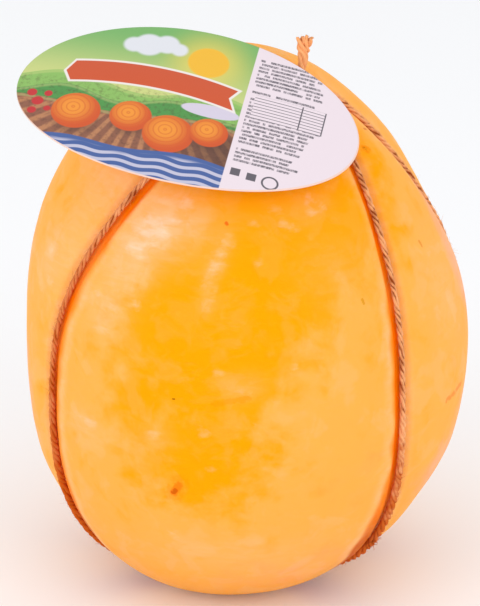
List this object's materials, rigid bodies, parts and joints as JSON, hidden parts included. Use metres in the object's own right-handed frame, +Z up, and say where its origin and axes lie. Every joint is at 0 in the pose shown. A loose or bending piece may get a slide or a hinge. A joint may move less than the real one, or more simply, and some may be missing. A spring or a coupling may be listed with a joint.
{
  "type": "tied smoked cheese",
  "caption": "Egg-shaped smoked cheese bound with twine that presses grooves into it, knotted on top, with an oval printed card lying over its crown.",
  "frame": {"origin": "on the table under the middle of the whole part's outer box", "axes": "+Z up through the knot end, +X to the right and +Y away as the front is seen in the picture"},
  "size_m": [0.1036, 0.104, 0.134],
  "materials": {
    "rind": "satin",
    "twine": "matte",
    "label": "satin"
  },
  "bodies": {
    "root": {"cheese": "rind", "twine": "twine", "label": "label"}
  },
  "joints": []
}
